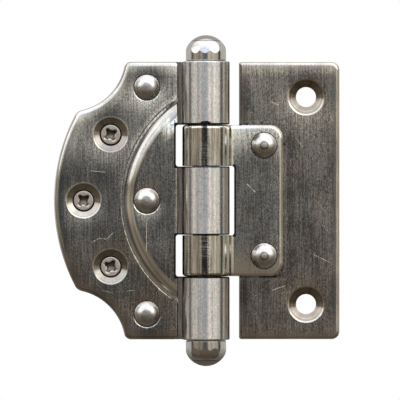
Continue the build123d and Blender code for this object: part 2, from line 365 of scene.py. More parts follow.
# A height that falls off towards each edge, from the distances to them
def crownHeight(edges, shapes):
    height = 0.0
    for edge in edges:
        for width, slope in shapes:
            reach = (width - edge).atLeast(0.0)
            height = reach * reach * (-slope / (2 * width)) + height
    return height


def edgePolish(edges):
    nearest = edges[0]
    for edge in edges[1:]:
        nearest = nearest.atMost(edge)
    return nearest.step(*edgeShine)


# The depth of a shallow hollow about a centre
def hollow(away, width, depth):
    away = away / width
    return (-(away * away)).combine("EXPONENT") * depth


# A thin ring about a centre, from the distance to that centre. It is full over the inner part of its width.
def ring(away, radius, width, full=1.0):
    inner = 0.4
    return abs(away - radius).step(width, width * inner, full)


def insideBox(x, z, low, high, margin):
    inX = x.step(low[0] - margin, low[0]) * x.step(high[0] + margin, high[0])
    inZ = z.step(low[1] - margin, low[1]) * z.step(high[1] + margin, high[1])
    return inX * inZ


# Light scratches: broken lines through points of the front view
def scratched(tree, x, z, lines):
    scratch = 0.0
    for line in lines:
        for start, end in zip(line, line[1:]):
            near = distanceToLine(x, z, start, end).step(*scratchLook["edge"])
            scratch = near.atLeast(scratch)
    return scratch * tree.grain(x, 0.0, z, scratchLook["breakGrain"]).step(*scratchLook["breakLevel"])


# A countersink's polished rim, and its cone, which is darkened with painted shade
def sinkMarks(away, sizes):
    return away.step(*sizes["sinkRim"]), away.step(*sizes["sink"]) + ring(away, *sizes["sinkRing"])


# In all settings of marks, lengths are from the pin's middle or a centre, and a pair is a step's limits.
# A third number is the strength where the step is full, and four numbers are a fade's.
scallopedPlate = {
    "arcCentre": (7.55, 0.0),
    "arcRadius": 42.3,
    "scallopCentre": (-31.2, 33.2),
    "scallopRadius": 12.8,
    "bend": (-7.6, 0.06),  # where the plate starts to bend back beside the barrel, and how fast
    "slotLow": (-7.26, 7.45),  # the slots, with painted shade round them
    "slotHigh": (0.0, 17.76),
    "slotMargin": 0.08,
    "screws": [(-21.8, 15.1), (-28.0, 0.0), (-21.8, -15.1)],
    "screwDish": (4.9, 0.24),  # width and depth
    "sinkRim": (4.25, 4.05),
    "sink": (3.8, 3.7),
    "sinkRing": (3.72, 0.12, 0.8),  # a ring of painted shade in the cone: radius, width and strength
    # how far painted shade darkens the countersinks' cones
    "sinkShade": 0.38,
    "brightRing": (4.1, 0.2, 0.35),
    "brightUpper": (-0.8, 0.4),
    "pocket": (2.75, 2.65),
    "pocketFloor": (1.77, 1.92),
    "rivets": [(-13.5, 25.9), (-13.5, 0.0), (-13.5, -25.9)],
    "rivetDish": (3.6, 0.26),
    "rivetFoot": (3.12, 3.0),
    "rivetLip": 3.3,
    "rivetLipLower": (0.6, -1.2),
    "rivetLipSlope": 0.8,
    "darkPatch": (-23.0, 9.0),
    "darkPatchEdge": (9.0, 3.0, -0.25),
    "darkLower": (-9.0, -16.0, -0.27),
    "scratches": [
        [(-26.1, -9.5), (-24.3, -8.6), (-22.7, -8.8), (-21.1, -7.2)],
        [(-23.8, -20.5), (-21.3, -21.1)],
        [(-18.1, -20.7), (-16.5, -20.5)],
        [(-26.3, 6.8), (-23.1, 6.5)],
        [(-13.6, -5.1), (-13.6, -11.5)],
    ],
}
panel = {
    "centre": (8.25, 0.0),
    "height": 1.0,
    "grooveRight": (-7.6, -9.6),
    "slope": [(24.0, 24.6), (27.2, 26.8)],
    "slopeShade": (4.0, -4.0, -0.1, 0.7),
    "footLight": [(26.3, 26.7), (27.5, 27.35), 0.9],
    "footLightLower": (3.0, -5.0),
    "lines": [(27.55, 0.1, 0.6), (26.98, 0.08, 0.25)],  # the groove's dark edges, painted shade: radius, width and strength
    "linesUpper": (-8.0, 2.0, 0.3, 1.0),
    "lip": 27.78,
    "lipInner": (27.57, 27.6),
    "lipSlope": 1.8,
    "bed": 26.95,  # the groove's sloping bed
    "bedOuter": (27.62, 27.6),
    "bedSlope": 0.09,
    "swell": 28.9,
    "swellWidth": 1.3,
    "swellSlope": 0.03,
    "flare": 21.4,
    "flareWidth": 2.9,
    "flareRight": (-10.5, -7.5),
    "flareUpper": (0.0, 6.0),
    "flareReturn": (27.6, 24.6, 0.055),
}


# The fine forms along the panel's groove, from the distance to the panel's centre: a lip outside the
# groove, its sloping bed, the swelling towards it, and the flare at the upper end of the panel's slope
def panelHeight(x, z, groove):
    lip = (panel["lip"] - groove).atLeast(0.0) * groove.step(*panel["lipInner"])
    bed = (groove - panel["bed"]).clamped() * groove.step(*panel["bedOuter"])
    swell = (panel["swell"] - groove).atLeast(0.0).atMost(panel["swellWidth"])
    reach = (groove - panel["flare"]).atLeast(0.0).atMost(panel["flareWidth"])
    flare = reach * reach * groove.step(*panel["flareReturn"])
    flare = flare * x.step(*panel["flareRight"]) * z.step(*panel["flareUpper"])
    grooved = (lip * lip * panel["lipSlope"] + bed * panel["bedSlope"]) * x.step(*panel["grooveRight"])
    return swell * swell * panel["swellSlope"] - grooved - flare


def scallopedMarks(tree, x, y, z):
    sizes = scallopedPlate
    up = abs(z)
    edges = [
        sizes["arcRadius"] - distanceTo(x, z, sizes["arcCentre"]),
        distanceTo(x, up, sizes["scallopCentre"]) - sizes["scallopRadius"],
        halfHeight - up,
    ]
    bend = (x - sizes["bend"][0]).atLeast(0.0)
    height = crownHeight(edges, crowns) - bend * bend * sizes["bend"][1]
    polish, sink, pocket, bright, foot = 0.0, 0.0, 0.0, 0.0, 0.0
    for place in sizes["screws"]:
        away = distanceTo(x, z, place)
        rim, cone = sinkMarks(away, sizes)
        polish, sink = rim + polish, cone + sink
        pocket = away.step(*sizes["pocket"]) + pocket
        bright = ring(away, *sizes["brightRing"]) * (z - place[1]).step(*sizes["brightUpper"]) + bright
        height = height - hollow(away, *sizes["screwDish"])
    for place in sizes["rivets"]:
        away = distanceTo(x, z, place)
        foot = away.step(*sizes["rivetFoot"]) + foot
        lip = (sizes["rivetLip"] - away).atLeast(0.0) * (z - place[1]).step(*sizes["rivetLipLower"])
        height = height - hollow(away, *sizes["rivetDish"]) - lip * lip * sizes["rivetLipSlope"]

    groove = distanceTo(x, z, panel["centre"])
    slope = groove.band(*panel["slope"])
    lines = 0.0
    for line in panel["lines"]:
        lines = ring(groove, *line) + lines
    lines = lines * x.step(*panel["grooveRight"]) * z.fade(*panel["linesUpper"])
    slots = insideBox(x, up, sizes["slotLow"], sizes["slotHigh"], sizes["slotMargin"])
    # darker about a point of the ring, painted shade towards the bottom, and painted light on the lower half
    # of the panel's slope and of the groove's foot
    shade = distanceTo(x, z, sizes["darkPatch"]).step(*sizes["darkPatchEdge"]) + z.step(*sizes["darkLower"])
    shade = shade + slope * z.fade(*panel["slopeShade"])
    return {
        "height": height + panelHeight(x, z, groove),
        "polish": (polish + slope + edgePolish(edges)).atMost(1.0),
        # painted shade round the slots, on the screw pockets' floors, round the rivets' feet and along the
        # groove's edges, more in its upper half
        "dirtAndShade": (slots + pocket * y.step(*sizes["pocketFloor"]) + foot + lines).clamped(),
        "scratch": scratched(tree, x, z, sizes["scratches"]) + bright,
        "shade": shade + groove.band(*panel["footLight"]) * z.step(*panel["footLightLower"]),
        "stainAndShade": sink * sizes["sinkShade"],
    }


rectangularPlate = {
    "left": 7.6,
    "right": 30.6,
    "front": (4.9, 4.5),
    "holes": [(22.95, 23.75), (22.95, -23.75)],
    "holeDish": (5.0, 0.16),
    "sinkRim": (4.4, 4.2),
    "sink": (3.95, 3.85),
    # the countersinks' cones are darkened with painted shade, less so on a ring
    "sinkRing": (3.3, 0.2, -0.25),
    "sinkShade": 0.7,
    "unevenGrain": (0.6, 0.6, 3.0, 0.7),
    "leafDirtAndShade": (0.6, 0.0),  # painted shade and dirt round the small leaf, as what follows
    "leafDirtAndShadeLevel": (0.35, 0.6),
    "leafDirtAndShadeLower": (6.0, -8.0, 0.3, 0.75),
    "leafLight": [(0.4, 0.6), (1.2, 0.9), 0.2],
    "leafShade": [(0.5, 1.2), (3.6, 1.6), -0.45],
    "leafShadeRight": (17.0, 18.6),
    "spots": [(12.7, 17.85), (9.3, 17.5), (18.0, 12.9)],
    "spotEdge": (0.38, 0.22, 0.8),
    # a painted shadow beneath the small leaf's lower edge, towards its right
    "corner": (14.2, -17.6),
    "cornerEdge": (2.4, 1.2),
    "cornerWidth": (0.45, 0.2),
    # painted shade along the plate's left edge, in the gap
    "leftEdge": (7.8, 7.72, 0.8),
    "darkMarks": [(9.2, 24.2), (8.6, -21.2)],
    "darkMarkSlim": 3.0,
    "darkMarkEdge": (5.0, 2.0),
    "darkMarkLevel": (0.3, 0.6, 0.6),
    "scratches": [
        [(24.7, -12.4), (28.4, -14.1)],
        [(15.3, -20.5), (18.1, -19.5)],
        [(20.6, 14.3), (22.2, 12.3)],
        [(28.6, 19.4), (29.1, 18.2)],
        [(14.9, 22.6), (16.7, 21.9)],
    ],
}


def rectangularMarks(tree, x, y, z):
    sizes = rectangularPlate
    up = abs(z)
    front = y.step(*sizes["front"])
    edges = [sizes["right"] - x, x - sizes["left"], halfHeight - up]
    height = crownHeight(edges, crowns)
    polish, sink = 0.0, 0.0
    for place in sizes["holes"]:
        away = distanceTo(x, z, place)
        rim, cone = sinkMarks(away, sizes)
        polish, sink = rim + polish, cone + sink
        height = height - hollow(away, *sizes["holeDish"])

    uneven = tree.grain(x, 0.0, z, sizes["unevenGrain"])
    beside = (x - smallLeaf["right"]).atLeast(up - smallLeaf["up"])
    # painted shade and dirt round the small leaf, darker towards the bottom, and a few real dirt spots
    dirtAndShade = beside.step(*sizes["leafDirtAndShade"]) * uneven.step(*sizes["leafDirtAndShadeLevel"])
    dirtAndShade = dirtAndShade * z.fade(*sizes["leafDirtAndShadeLower"])
    for place in sizes["spots"]:
        dirtAndShade = distanceTo(x, z, place).step(*sizes["spotEdge"]) + dirtAndShade
    # a painted shadow beneath the small leaf's lower edge, and painted shade along the plate's left edge
    corner = distanceTo(x, z, sizes["corner"]).step(*sizes["cornerEdge"])
    dirtAndShade = dirtAndShade + corner * beside.step(*sizes["cornerWidth"]) + x.step(*sizes["leftEdge"])
    # painted shade in the countersinks' cones, and real dark marks
    stainAndShade = sink * sizes["sinkShade"]
    slim = sizes["darkMarkSlim"]
    for across, above in sizes["darkMarks"]:
        mark = distanceTo(x * slim, z, (across * slim, above)).step(*sizes["darkMarkEdge"])
        stainAndShade = mark * uneven.step(*sizes["darkMarkLevel"]) + stainAndShade
    # a painted shadow beside the small leaf towards the right, and a strip of painted light round it
    shade = beside.band(*sizes["leafShade"]) * x.step(*sizes["leafShadeRight"])
    shade = shade + beside.band(*sizes["leafLight"])
    return {
        "height": height,
        "polish": (polish + edgePolish(edges)).atMost(1.0),
        "dirtAndShade": dirtAndShade.clamped() * front,
        "scratch": scratched(tree, x, z, sizes["scratches"]) * front,
        "shade": shade * front,
        "stainAndShade": stainAndShade * front,
    }


smallLeaf = {
    "right": 17.6,
    "up": 17.28,
    "endCrowns": [(9.0, 0.085)],
    "sideCrowns": [(4.0, 0.05)],
    "shine": (1.2, 0.6, 0.85),
    "rivets": [(13.3, 12.63), (13.3, -12.63)],
    "rivetFoot": (3.12, 3.0),
    "rolled": (0.3, 0.05),  # beyond the barrel's radius, as the next one
    "endsOuter": (0.4, 0.0),
    "rolledPolish": 0.5,
    "rippleGrain": (0.35, 0.3, 3.0, 0.65),
    "rippleHeight": 0.012,
    "dashGrain": (12.0, 0.2, 1.0, 0.5),  # the dashes across the black strip
    "dashLevel": (0.48, 0.62),
    "dashUp": (13.8, 12.4),
    "dashMiddle": -0.4,
    "dashWidth": (1.6, 0.6),
    "dashHeight": 0.006,
    "dashBreak": 0.45,
    "stripGrain": (0.25, 1.4, 3.0, 0.7),
    "stripLevel": (0.34, 0.46),
    "stripMiddle": -0.35,
    "stripWidth": (0.8, 0.45),
    "stripFront": (0.0, -2.0, 0.9),
    "ends": [(17.2, 17.27), (8.02, 7.95)],
    "leftSide": (-5.15, -5.3),
    "leftSideBack": (-3.0, -2.0),
    "foot": [(6.0, 6.2), (6.88, 6.8)],  # the painted shade at the foot of each roll, beside the slot
    "footUp": (8.3, 8.2),
    "streakGrain": (0.24, 6.0, 2.0, 0.5),
    "streaks": 2.0,
    "lightRight": (5.4, 6.2),
    "lightLeft": (11.0, 7.0, 0.5),
    "lightUp": (6.5, 9.0),
    "lightLower": (-12.0, -15.5, 0.6),
    "scratches": [[(9.4, 3.8), (11.2, 2.0)]],
}


# The rolled knuckles of the small leaf are brighter than its flat, with a black strip in the middle that is
# a painted dark reflection. Painted shade lies at their ends, round the rivets, at their left side and at
# their foot, and painted light lies on parts of the flat.
def smallLeafMarks(tree, x, y, z):
    sizes = smallLeaf
    up = abs(z)
    beyond = (x * x + y * y).root() - barrelRadius
    rolled = beyond.step(*sizes["rolled"])
    edges = [sizes["right"] - x, sizes["up"] - up]
    flat = crownHeight(edges[:1], sizes["sideCrowns"]) + crownHeight(edges[1:], sizes["endCrowns"])
    dashes = tree.grain(x, 0.0, z, sizes["dashGrain"]).step(*sizes["dashLevel"]) * up.step(*sizes["dashUp"])
    bumps = tree.grain(x, y, z, sizes["rippleGrain"]) * sizes["rippleHeight"]
    bumps = bumps + dashes * abs(x - sizes["dashMiddle"]).step(*sizes["dashWidth"]) * sizes["dashHeight"]

    # the black strip is a painted dark reflection, broken by the dashes
    strip = tree.grain(x, y, z, sizes["stripGrain"]).step(*sizes["stripLevel"])
    strip = strip * abs(x - sizes["stripMiddle"]).step(*sizes["stripWidth"]) * y.step(*sizes["stripFront"])
    dirtAndShade = strip * (1 - dashes * sizes["dashBreak"])
    # painted shade at the knuckles' ends, round the rivets, at the rolls' left side and at their foot beside
    # the slot
    for limits in sizes["ends"]:
        dirtAndShade = up.step(*limits) * beyond.step(*sizes["endsOuter"]) + dirtAndShade
    for place in sizes["rivets"]:
        dirtAndShade = distanceTo(x, z, place).step(*sizes["rivetFoot"]) + dirtAndShade
    dirtAndShade = dirtAndShade + x.step(*sizes["leftSide"]) * y.step(*sizes["leftSideBack"])
    dirtAndShade = dirtAndShade + x.band(*sizes["foot"]) * up.step(*sizes["footUp"])

    # painted light on the flat's left end and on its lower part
    light = x.step(*sizes["lightLeft"]) * up.step(*sizes["lightUp"]) + z.step(*sizes["lightLower"])
    streaks = (tree.grain(x, 0.0, z, sizes["streakGrain"]) - 0.5) * sizes["streaks"]
    shine = edges[0].atMost(edges[1]).step(*sizes["shine"])
    return {
        "height": flat * (1 - rolled) + bumps * rolled,
        "polish": (rolled * sizes["rolledPolish"] + shine).atMost(1.0),
        "dirtAndShade": dirtAndShade.clamped(),
        "scratch": scratched(tree, x, z, sizes["scratches"]),
        "shade": x.step(*sizes["lightRight"]) * light + streaks * rolled,
    }


largeLeaf = {
    "upperCut": [(17.3, 17.4), (17.72, 17.62)],
    "lowerCut": [(7.46, 7.56), (8.0, 7.9)],
    "lowerCutTop": (7.74, 7.66),
    "cutLeft": (-7.0, -6.6),
    "lens": (-0.1, 17.75),  # the lens of painted shade under the upper knuckle
    "lensSquares": (1.6, 1 / 6),  # squares of its half width and half height
    "lensEdge": (1.0, 0.7),
    "streakGrain": (0.35, 6.0, 3.0, 0.6),
    "streakLevel": (0.35, 0.6, 0.45, 0.75),
    "valley": (-4.35, -4.7),
    "valleyDeep": (-5.0, -5.5, 0.2),
    "flank": (4.0, 4.4, 0.5),
    "outline": (5.0, 5.2, 0.85),
}


# The rolled knuckles of the large leaf end in painted shade, painted shade and dirt lie between them and the
# plate, and painted shade darkens their right side
def barrelMarks(tree, x, y, z):
    sizes = largeLeaf
    up = abs(z)
    cuts = up.band(*sizes["upperCut"]) + up.band(*sizes["lowerCut"]) * z.step(*sizes["lowerCutTop"])
    across, above = x - sizes["lens"][0], z - sizes["lens"][1]
    lens = across * across / sizes["lensSquares"][0] + above * above / sizes["lensSquares"][1]
    # painted shade at the knuckles' ends, in a lens under the upper knuckle and along the right side
    dirtAndShade = cuts * x.step(*sizes["cutLeft"]) + lens.step(*sizes["lensEdge"]) + x.step(*sizes["outline"])
    streaks = tree.grain(x, 0.0, z, sizes["streakGrain"]).fade(*sizes["streakLevel"])
    # painted shade and dirt in the valley beside the plate, and painted shade on the right flank
    valley = x.step(*sizes["valley"]) * streaks + x.step(*sizes["valleyDeep"])
    return {"dirtAndShade": dirtAndShade.clamped(), "stainAndShade": (valley + x.step(*sizes["flank"])).clamped()}


domes = {
    "leftDisc": (1.2, 1.0),
    "rightDisc": (0.85, 0.7),
    "discRough": 0.08,
    "discShade": -0.4,
    "nubRing": (0.85, 0.22, 0.9),
}


# The disc in the middle of each rivet is duller than its dome and darkened with painted shade, and painted
# shade lies round the right ones' nubs
def domeMarks(tree, x, y, z):
    disc, darkening = 0.0, 0.0
    for place in scallopedPlate["rivets"]:
        disc = distanceTo(x, z, place).step(*domes["leftDisc"]) + disc
    for place in smallLeaf["rivets"]:
        away = distanceTo(x, z, place)
        disc = away.step(*domes["rightDisc"]) + disc
        darkening = ring(away, *domes["nubRing"]) + darkening
    return {"rough": disc * domes["discRough"], "shade": disc * domes["discShade"], "stainAndShade": darkening}


ballTips = {
    "dents": 12,
    "firstDent": 0.05,
    "dentRow": (4.6, 34.8),  # radius and height of their centres
    "dentRadius": 1.2,
    "dentDepth": -0.08,
    "capLine": 36.4,
    "capLineEdge": (0.14, 0.05, 0.6),
    "capShade": (36.3, 36.5, 0.35),
}


# The ball tips are worked with a ring of dents; a line of painted shade runs round under their caps, and
# painted shade darkens the caps
def tipMarks(tree, x, y, z):
    up = abs(z)
    turn = tree.add("ShaderNodeMath", {"operation": "ARCTAN2"}, {0: x, 1: -y}) + ballTips["firstDent"]
    aside = turn.combine("PINGPONG", math.pi / ballTips["dents"]) * ballTips["dentRow"][0]
    above = up - ballTips["dentRow"][1]
    dent = (ballTips["dentRadius"] ** 2 - aside * aside - above * above).atLeast(0.0)
    line = abs(up - ballTips["capLine"]).step(*ballTips["capLineEdge"])
    return {"height": dent * ballTips["dentDepth"], "stainAndShade": up.step(*ballTips["capShade"]) + line}


screwShade = {
    "far": 9.0,
    "recess": (1.7, 1.6),
    "recessUpper": (-0.5, 0.3, 0.85),
    "side": (1.6, 1.8),
    "deep": (1.68, 1.8),
    "deepShade": 0.3,
}


# Painted shade lies in the upper part of each screw's recess and down its side, and darkens all of it that
# lies deep
def screwMarks(tree, x, y, z):
    nearest, recess = screwShade["far"], 0.0
    for place in scallopedPlate["screws"]:
        away = distanceTo(x, z, place)
        recess = away.step(*screwShade["recess"]) * (z - place[1]).step(*screwShade["recessUpper"]) + recess
        nearest = away.atMost(nearest)
    deep = y.step(*screwShade["deep"])
    dirtAndShade = deep * (nearest.step(*screwShade["side"]) + recess).clamped()
    return {"dirtAndShade": dirtAndShade, "stainAndShade": deep * screwShade["deepShade"]}


plateSteel = steel("scalloped plate steel", plateLook, scallopedMarks)
backSteel = steel("rectangular plate steel", backLook, rectangularMarks)
leafSteel = steel("small leaf steel", plateLook, smallLeafMarks)
barrelSteel = steel("barrel steel", barrelLook, barrelMarks)
domeSteel = steel("polished dome steel", domeLook, domeMarks)
tipSteel = steel("ball tip steel", tipLook, tipMarks)
screwSteel = steel("screw steel", screwLook, screwMarks)
print("materials made")

nodeFinish = {
    "scalloped_plate": plateSteel,
    "rectangular_plate": backSteel,
    "two_knuckle_leaf": leafSteel,
    "three_knuckle_leaf": barrelSteel,
    "top_ball_tip": tipSteel,
    "bottom_ball_tip": tipSteel,
}
for name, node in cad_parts.items():
    node.material_slots[0].material = nodeFinish.get(name, domeSteel)


# A turned form. The rows of a grid follow its profile and the columns go round it.
# Each call to line, arc or corner adds one stage of the profile, from the top to the back.
class Lathe:
    def __init__(self, tree, stages, rows, around, top):
        sizes = {"Size X": 1.0, "Size Y": 1.0, "Vertices X": around + 1, "Vertices Y": stages * rows + 1}
        self.tree = tree
        self.grid = tree.add("GeometryNodeMeshGrid", None, sizes)
        x, y, z = tree.split(tree.add("GeometryNodeInputPosition"))
        self.angle = (x + 0.5) * math.tau
        self.row = (y + 0.5) * stages
        self.stage = 0
        self.radius, self.height = 0.0, top
        self.endRadius, self.endHeight = 0.0, top

    # How far a row is through the next stage
    def share(self):
        self.stage += 1
        return (self.row - (self.stage - 1)).clamped()

    def line(self, radius, height):
        share = self.share()
        self.radius = share * (radius - self.endRadius) + self.radius
        self.height = share * (height - self.endHeight) + self.height
        self.endRadius, self.endHeight = radius, height

    # An arc about a point of the axis that is given by its height
    def arc(self, radius, height, centre):
        size = (self.tree.wire(self.endRadius) ** 2.0 + (self.endHeight - centre) ** 2.0).root()
        first = self.tree.wire(self.endRadius).combine("ARCTAN2", self.endHeight - centre)
        last = self.tree.wire(radius).combine("ARCTAN2", height - centre)
        angle = first + (last - first) * self.share()
        self.radius = size * angle.sine() - self.endRadius + self.radius
        self.height = size * angle.cosine() + centre - self.endHeight + self.height
        self.endRadius, self.endHeight = radius, height

    # A rounded corner that starts level and ends upright
    def corner(self, radius, height):
        turn = self.share() * (math.pi / 2)
        self.radius = turn.sine() * (radius - self.endRadius) + self.radius
        self.height = (1 - turn.cosine()) * (height - self.endHeight) + self.height
        self.endRadius, self.endHeight = radius, height

    # The mesh, with its front towards -y
    def turned(self):
        across, up = self.radius * self.angle.cosine(), self.radius * self.angle.sine()
        place = self.tree.vector(across, -self.height, up)
        mesh = self.tree.add("GeometryNodeSetPosition", None, {"Geometry": self.grid, "Position": place})
        closed = {"Geometry": mesh, "Distance": 0.001}  # closes the seam and the two poles
        return self.tree.add("GeometryNodeMergeByDistance", None, closed)


# A Geometry Nodes group with a named input for each size, and its inputs as wires
def sizedGroup(name, sizes):
    group = bpy.data.node_groups.new(name, "GeometryNodeTree")
    group.interface.new_socket("places", in_out="INPUT", socket_type="NodeSocketGeometry")
    for size in sizes:
        group.interface.new_socket(size, in_out="INPUT", socket_type="NodeSocketFloat")
    group.interface.new_socket("pieces", in_out="OUTPUT", socket_type="NodeSocketGeometry")
    tree = Tree(group)
    entry = tree.add("NodeGroupInput")
    return group, tree, {s.name: Wire(tree, s) for s in entry.socket.node.outputs if s.name}


def named(tree, name):
    return tree.add("GeometryNodeInputNamedAttribute", {"data_type": "FLOAT"}, {"Name": name}, "Attribute")


def stored(tree, mesh, name, value):
    settings = {"data_type": "FLOAT", "domain": "POINT"}
    inputs = {"Geometry": mesh, "Name": name, "Value": value}
    return tree.add("GeometryNodeStoreNamedAttribute", settings, inputs)


# Puts a turned piece on every place, carries its back to the plate's back and dents its front a little
def placed(tree, mesh, inputs, material):
    turn = tree.vector(0.0, named(tree, "turn"), 0.0)
    spots = {"Points": inputs["places"], "Instance": mesh, "Rotation": turn}
    pieces = tree.add("GeometryNodeInstanceOnPoints", None, spots)
    pieces = tree.add("GeometryNodeRealizeInstances", None, {0: pieces})
    shift = named(tree, "back") * (named(tree, "seat") - inputs["seat"])
    point = tree.add("GeometryNodeInputPosition")
    dents = {"Vector": point, "W": inputs["seed"], "Scale": inputs["dents per mm"], "Detail": 0.0}
    dent = tree.add("ShaderNodeTexNoise", {"noise_dimensions": "4D"}, dents) - 0.5
    dent = dent * named(tree, "front") * inputs["dent depth"]
    normal = tree.add("GeometryNodeInputNormal")
    offset = tree.add("ShaderNodeVectorMath", {"operation": "SCALE"}, {0: normal, "Scale": dent})
    shift = tree.vector(0.0, shift, 0.0)
    offset = tree.add("ShaderNodeVectorMath", {"operation": "ADD"}, {0: offset, 1: shift})
    pieces = tree.add("GeometryNodeSetPosition", None, {"Geometry": pieces, "Offset": offset})
    metres = tree.add("ShaderNodeVectorMath", {"operation": "SCALE"}, {0: point, "Scale": 1 / perMetre})
    pieces = tree.add("GeometryNodeSetPosition", None, {"Geometry": pieces, "Position": metres})
    pieces = tree.add("GeometryNodeSetMaterial", None, {"Geometry": pieces, "Material": material})
    tree.add("NodeGroupOutput", None, {0: pieces})


def rivetGroup(name, sizes, material):
    group, tree, inputs = sizedGroup(name, sizes)
    dome, tall, flat = inputs["dome radius"], inputs["dome height"], inputs["flat radius"]
    crown, nub = inputs["crown"], inputs["nub height"]
    shank, tail, seat = inputs["shank radius"], inputs["tail radius"], inputs["seat"]
    crownRadius = (flat * flat + crown * crown) / (2 * crown)
    domeCentre = (tall * tall + flat * flat - dome * dome) / (2 * tall)
    lathe = Lathe(tree, stages=7, rows=9, around=64, top=tall + nub + crown)
    lathe.arc(flat, tall + nub, tall + nub + crown - crownRadius)
    lathe.line(flat, tall)
    lathe.arc(dome, 0.0, domeCentre)
    lathe.line(shank, 0.0)
    lathe.line(shank, tail - shank - seat)
    shankStage = lathe.stage
    lathe.line(tail, -seat)
    lathe.line(0.0, -seat)
    mesh = stored(tree, lathe.turned(), "front", (lathe.height / tall).clamped())
    mesh = stored(tree, mesh, "back", (lathe.row - (shankStage - 1)).clamped())
    placed(tree, mesh, inputs, material)
    return group


def screwGroup(name, sizes, material):
    group, tree, inputs = sizedGroup(name, sizes)
    head, tall, soft = inputs["head radius"], inputs["head height"], inputs["edge round"]
    core, lobe, away = inputs["recess core"], inputs["recess lobe"], inputs["lobe distance"]
    floor, bevel = tall - inputs["recess depth"], inputs["recess bevel"]
    shank, seat = inputs["shank radius"], inputs["seat"]
    lathe = Lathe(tree, stages=9, rows=5, around=144, top=floor)
    lobes = 4
    aside = lathe.angle.combine("PINGPONG", math.pi / lobes)
    across = away * aside.sine()
    star = core.atLeast(away * aside.cosine() + (lobe * lobe - across * across).atLeast(0.0).root())
    lathe.line(star * inputs["recess taper"], floor)
    lathe.line(star, tall - bevel / 2)
    lathe.line(star + bevel, tall)
    lathe.line(head - soft, tall)
    lathe.corner(head, tall - soft)
    lathe.line(head, 0.0)
    lathe.line(shank, 0.0)
    lathe.line(shank, -seat)
    shankStage = lathe.stage
    lathe.line(0.0, -seat)
    mesh = stored(tree, lathe.turned(), "front", 0.0)
    mesh = stored(tree, mesh, "back", (lathe.row - (shankStage - 1)).clamped())
    placed(tree, mesh, inputs, material)
    return group


merging = 1e-7  # in metres
creaseAngle = math.radians(38)  # edges that turn more than this stay crisp


# Makes one plain mesh from a group, which stands for the CAD nodes named
def turnedPieces(name, group, sizes, places, body, nodes):
    mesh = bpy.data.meshes.new(name + "_places")
    mesh.from_pydata([Vector((x, -seat, z)) for x, z, seat, turn in places], [], [])
    for column, title in ((2, "seat"), (3, "turn")):
        values = [place[column] for place in places]
        mesh.attributes.new(title, "FLOAT", "POINT").data.foreach_set("value", values)
    piece = bpy.data.objects.new(name, mesh)
    scene.collection.objects.link(piece)
    maker = piece.modifiers.new("maker", "NODES")
    maker.node_group = group
    for item in group.interface.items_tree:
        if item.name in sizes:
            maker[item.identifier] = sizes[item.name]
    bpy.context.view_layer.update()
    whole = piece.evaluated_get(bpy.context.evaluated_depsgraph_get())
    made = bpy.data.meshes.new_from_object(whole)
    piece.modifiers.remove(maker)
    piece.data = made
    form = bmesh.new()
    form.from_mesh(made)
    bmesh.ops.remove_doubles(form, verts=form.verts, dist=merging)
    bmesh.ops.recalc_face_normals(form, faces=form.faces)
    for face in form.faces:
        face.smooth = True
    for edge in form.edges:
        edge.smooth = edge.calc_face_angle(0.0) < creaseAngle
    form.to_mesh(made)
    form.free()
    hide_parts(*nodes)
    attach(piece, body)


leftRivets = {
    "dome radius": 2.92,
    "dome height": 1.5,
    "flat radius": 1.1,
    "crown": 0.09,
    "nub height": 0.0,
    "shank radius": 1.5,
    "tail radius": 2.3,
    "seat": 4.55,
    "dents per mm": 1.1,
    "dent depth": 0.06,
    "seed": 3.0,
}
rightRivets = {
    **leftRivets,
    "flat radius": 0.75,
    "crown": 0.07,
    "nub height": 0.12,
    "seat": 4.75,
    "seed": 8.0,
}
screws = {
    "head radius": 2.25,
    "head height": 0.8,
    "edge round": 0.15,
    "recess core": 0.92,
    "recess lobe": 0.44,
    "recess bevel": 0.24,
    "lobe distance": 1.08,
    "recess depth": 1.0,
    "recess taper": 0.6,
    "shank radius": 1.5,
    "seat": 2.95,
    "dents per mm": 1.0,
    "dent depth": 0.0,
    "seed": 1.0,
}


# A node's place in the front view, its seat above the back, and its turn
def spot(node, seat, turn=0.0):
    middle = boxOf(node)[2]
    return middle.x, middle.z, seat, math.radians(turn)


turnedPieces(
    "left_rivets",
    rivetGroup("left rivet", leftRivets, domeSteel),
    leftRivets,
    [
        spot("left_rivet_upper", leftRivets["seat"]),
        spot("left_rivet_middle", leftRivets["seat"] + panel["height"]),
        spot("left_rivet_lower", leftRivets["seat"]),
    ],
    "swinging_side",
    ["left_rivet_upper", "left_rivet_middle", "left_rivet_lower"],
)
turnedPieces(
    "right_rivets",
    rivetGroup("right rivet", rightRivets, domeSteel),
    rightRivets,
    [spot("right_rivet_upper", rightRivets["seat"]), spot("right_rivet_lower", rightRivets["seat"])],
    "fixed_side",
    ["right_rivet_upper", "right_rivet_lower"],
)
turnedPieces(
    "left_screws",
    screwGroup("left screw", screws, screwSteel),
    screws,
    [
        spot("left_screw_upper", screws["seat"], 57),
        spot("left_screw_middle", screws["seat"], 47),
        spot("left_screw_lower", screws["seat"], 31),
    ],
    "swinging_side",
    ["left_screw_upper", "left_screw_middle", "left_screw_lower"],
)
print("rivets and screws made")


floor = {
    "radius": 1500.0,
    "below": 120.0,
    "corners": 96,
    "colour": (0.70, 0.69, 0.67),
    "darkest": 0.97,
    "roughness": 0.9,
}


